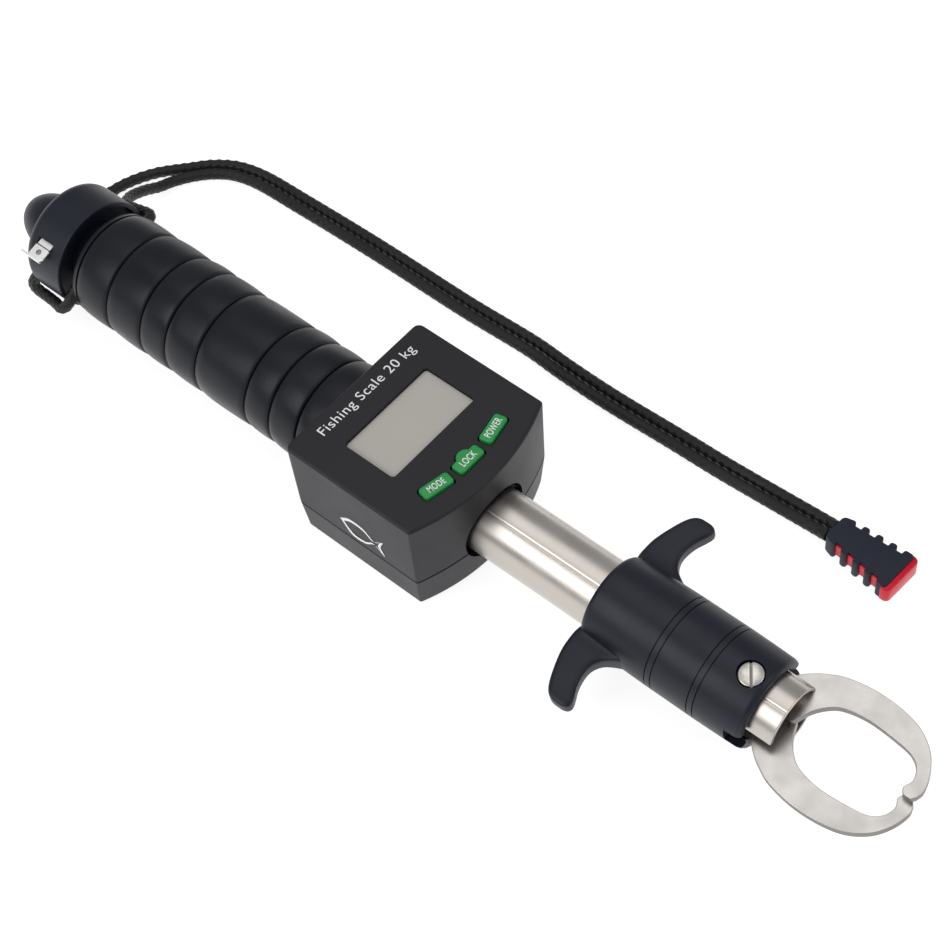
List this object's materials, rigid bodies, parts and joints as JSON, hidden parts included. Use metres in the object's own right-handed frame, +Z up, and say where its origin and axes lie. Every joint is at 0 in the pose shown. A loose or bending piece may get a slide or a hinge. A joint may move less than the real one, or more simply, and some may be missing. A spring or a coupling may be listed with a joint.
{
  "type": "digital fish scale",
  "caption": "Hand-held fish scale: a sliding trigger opens steel lip-grip jaws on a swivelling tube; weighing box, foam grip, tape measure in the tail, wrist lanyard.",
  "frame": {"origin": "under the middle of the tool's outline, on the surface that it rests on", "axes": "+X along the tool towards its jaws, +Z up out of the display, +Y to the side the lanyard lies on"},
  "size_m": [0.2907, 0.0887, 0.0359],
  "materials": {
    "foam": "matt closed-cell foam, blue-black",
    "case_plastic": "fine matt texture, blue-black",
    "housing_plastic": "fine matt texture, charcoal",
    "button_rubber": "satin moulded rubber, green with white printing",
    "window": "clear acrylic",
    "lcd": "unlit liquid-crystal display, grey-beige",
    "board": "glass-epoxy circuit board, green",
    "inner_plastic": "plain moulded grey",
    "tube_steel": "stainless steel, brushed along its length",
    "screw_steel": "machined steel",
    "bright_steel": "nickel plated",
    "aluminium": "plain drawn aluminium",
    "tape_paint": "enamelled spring-steel tape, yellow",
    "cord": "braided polyester, black",
    "toggle_shell": "soft moulded PVC, navy-black",
    "toggle_red": "satin moulded plastic, red"
  },
  "bodies": {
    "handle": {"grip_sleeve": "foam", "handle_tube": "aluminium", "tail_plug": "case_plastic", "tape_case": "case_plastic", "case_cover": "case_plastic", "end_cap": "case_plastic", "upper_housing": "housing_plastic", "lower_housing": "housing_plastic", "housing_screw_1": "screw_steel", "housing_screw_2": "screw_steel", "housing_screw_3": "screw_steel", "housing_screw_4": "screw_steel", "display_window": "window", "lcd_module": "lcd", "circuit_board": "board", "unit_switch": "inner_plastic", "hold_switch": "inner_plastic", "power_switch": "inner_plastic", "battery_holder": "inner_plastic", "battery_cell": "bright_steel", "load_cell": "aluminium", "anchor_plug": "aluminium", "anchor_bolt": "screw_steel", "swivel_bolt": "screw_steel", "swivel_nut": "screw_steel", "tape_spring": "screw_steel", "lanyard_strand_right": "cord", "lanyard_strand_left": "cord", "toggle_shell": "toggle_shell", "toggle_core": "toggle_red"},
    "unit_button": {"unit_button": "button_rubber"},
    "hold_button": {"hold_button": "button_rubber"},
    "power_button": {"power_button": "button_rubber"},
    "battery_cap": {"battery_cap": "housing_plastic"},
    "tape_spool": {"tape_spool": "inner_plastic", "tape_coil": "tape_paint"},
    "tape_hook": {"tape_blade": "tape_paint", "tape_hook": "bright_steel", "hook_rivet": "bright_steel"},
    "head": {"main_tube": "tube_steel", "tube_plug": "tube_steel", "plug_screw_left": "screw_steel", "plug_screw_right": "screw_steel", "thrust_washer": "bright_steel", "spring_seat": "tube_steel", "seat_pin": "screw_steel", "spreader_pin": "screw_steel", "return_spring": "screw_steel"},
    "trigger": {"trigger_collar": "case_plastic", "pivot_screw": "bright_steel", "pivot_nut": "bright_steel", "plunger": "tube_steel"},
    "right_jaw": {"right_jaw": "tube_steel"},
    "left_jaw": {"left_jaw": "tube_steel"}
  },
  "joints": [
    {"name": "unit_press", "type": "slide", "parent": "handle", "child": "unit_button", "axis": [0, 0, -1], "range_m": [0, 0.0006], "stiffness_N_per_m": 600, "springref_m": -0.0003},
    {"name": "hold_press", "type": "slide", "parent": "handle", "child": "hold_button", "axis": [0, 0, -1], "range_m": [0, 0.0006], "stiffness_N_per_m": 600, "springref_m": -0.0003},
    {"name": "power_press", "type": "slide", "parent": "handle", "child": "power_button", "axis": [0, 0, -1], "range_m": [0, 0.0006], "stiffness_N_per_m": 600, "springref_m": -0.0003},
    {"name": "battery_cap_turn", "type": "hinge", "parent": "handle", "child": "battery_cap", "pos_m": [-0.003, 0, 0], "axis": [0, 0, -1], "range_deg": [0, 90]},
    {"name": "tape_spool_turn", "type": "hinge", "parent": "handle", "child": "tape_spool", "pos_m": [-0.1254, 0, 0.0159], "axis": [1, 0, 0], "range_deg": [0, 31], "stiffness_Nm_per_rad": 0.004, "springref_deg": -85.94},
    {"name": "tape_pull", "type": "slide", "parent": "handle", "child": "tape_hook", "axis": [0, -0.962, -0.273], "range_m": [0, 0.0071]},
    {"name": "head_swivel", "type": "hinge", "parent": "handle", "child": "head", "pos_m": [0.0125, 0, 0.0159], "axis": [1, 0, 0], "continuous": true},
    {"name": "trigger_slide", "type": "slide", "parent": "head", "child": "trigger", "axis": [-1, 0, 0], "range_m": [0, 0.009], "stiffness_N_per_m": 500, "springref_m": -0.005, "deforming": ["return_spring"]},
    {"name": "right_jaw_turn", "type": "hinge", "parent": "trigger", "child": "right_jaw", "pos_m": [0.1001, 0, 0.0159], "axis": [0, -0.1392, 0.9903], "range_deg": [0, 18.5]},
    {"name": "left_jaw_turn", "type": "hinge", "parent": "trigger", "child": "left_jaw", "pos_m": [0.1001, 0, 0.0159], "axis": [0, -0.1392, 0.9903], "range_deg": [-18.5, 0]}
  ],
  "couplings": [
    {"joint": "tape_pull", "follows": "tape_spool_turn", "m_per_rad": 0.01295},
    {"joint": "right_jaw_turn", "follows": "trigger_slide", "rad_per_m": 34.907},
    {"joint": "left_jaw_turn", "follows": "trigger_slide", "rad_per_m": -34.907}
  ]
}
